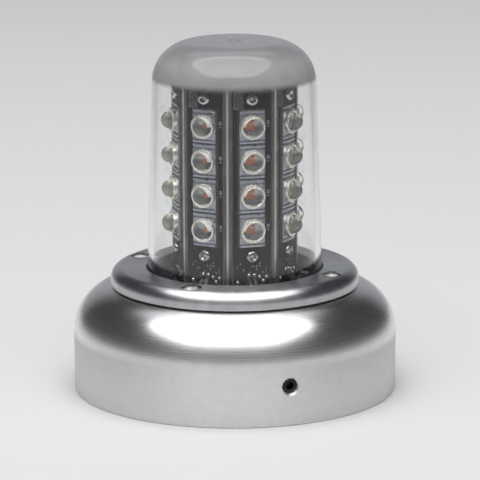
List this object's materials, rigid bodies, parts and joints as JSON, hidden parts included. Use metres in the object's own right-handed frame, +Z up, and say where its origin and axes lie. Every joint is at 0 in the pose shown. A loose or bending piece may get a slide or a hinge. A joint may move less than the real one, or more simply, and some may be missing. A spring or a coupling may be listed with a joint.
{
  "type": "navigation light",
  "caption": "All-round electric marker light: clear domed lens over an eight-sided column of light emitters, clamped on a turned metal housing that locks on a round spigot.",
  "frame": {"origin": "centre of the housing's bottom rim, on the light's axis", "axes": "+Z up along the light's axis, -Y towards the front, +X to the right seen from the front"},
  "size_m": [0.0825, 0.0824, 0.0895],
  "materials": {
    "housing_aluminium": "satin brushed skirt, polished shoulder",
    "ring_aluminium": "polished, fine turning marks",
    "column_aluminium": "anodised, matt",
    "plate_aluminium": "satin",
    "clear_polycarbonate": "clear, polished",
    "frosted_polycarbonate": "frosted grey, satin",
    "black_rubber": "matt",
    "black_potting": "cast, semi-gloss",
    "stainless_steel": "bright",
    "black_oxide_steel": "black oxide, satin",
    "brass": "turned",
    "green_board": "solder mask",
    "black_board": "black solder mask with white marks",
    "component_black": "moulded",
    "thermal_pad_grey": "soft, matt",
    "emitter_silver": "silver-grey plated ceramic",
    "emitter_ring_metal": "satin",
    "emitter_lens": "clear silicone",
    "emitter_die": "orange phosphor",
    "wire_insulation": "extruded"
  },
  "bodies": {
    "light": {"base_housing": "housing_aluminium", "board_screws": "stainless_steel", "cable_grommet": "black_rubber", "clamp_ring": "ring_aluminium", "column_core": "column_aluminium", "cover_gasket": "black_rubber", "cover_plate": "plate_aluminium", "cover_screws": "stainless_steel", "driver_board": "green_board", "driver_parts": "component_black", "driver_screws": "stainless_steel", "driver_spacers": "brass", "foot_potting": "black_potting", "led_board_1": "black_board", "led_board_2": "black_board", "led_board_3": "black_board", "led_board_4": "black_board", "led_board_5": "black_board", "led_board_6": "black_board", "led_board_7": "black_board", "led_board_8": "black_board", "led_chips": "emitter_die", "led_lenses": "emitter_lens", "led_packages": "emitter_silver", "led_rings": "emitter_ring_metal", "led_wires": "wire_insulation", "lens_cap": "frosted_polycarbonate", "lens_o_ring": "black_rubber", "lens_tube": "clear_polycarbonate", "ring_gasket": "black_rubber", "ring_screws": "stainless_steel", "thermal_pads": "thermal_pad_grey", "tie_nuts": "stainless_steel", "tie_rod": "stainless_steel", "tie_washers": "stainless_steel", "top_plate": "column_aluminium"},
    "set_screw_front": {"set_screw_front": "black_oxide_steel"},
    "set_screw_right": {"set_screw_right": "black_oxide_steel"},
    "set_screw_left": {"set_screw_left": "black_oxide_steel"}
  },
  "joints": [
    {"name": "set_screw_front_advance", "type": "slide", "parent": "light", "child": "set_screw_front", "axis": [-0.3322, 0.9432, 0], "range_m": [0, 0.0016]},
    {"name": "set_screw_right_advance", "type": "slide", "parent": "light", "child": "set_screw_right", "axis": [-0.6508, -0.7593, 0], "range_m": [0, 0.0016]},
    {"name": "set_screw_left_advance", "type": "slide", "parent": "light", "child": "set_screw_left", "axis": [0.9829, -0.184, 0], "range_m": [0, 0.0016]}
  ]
}
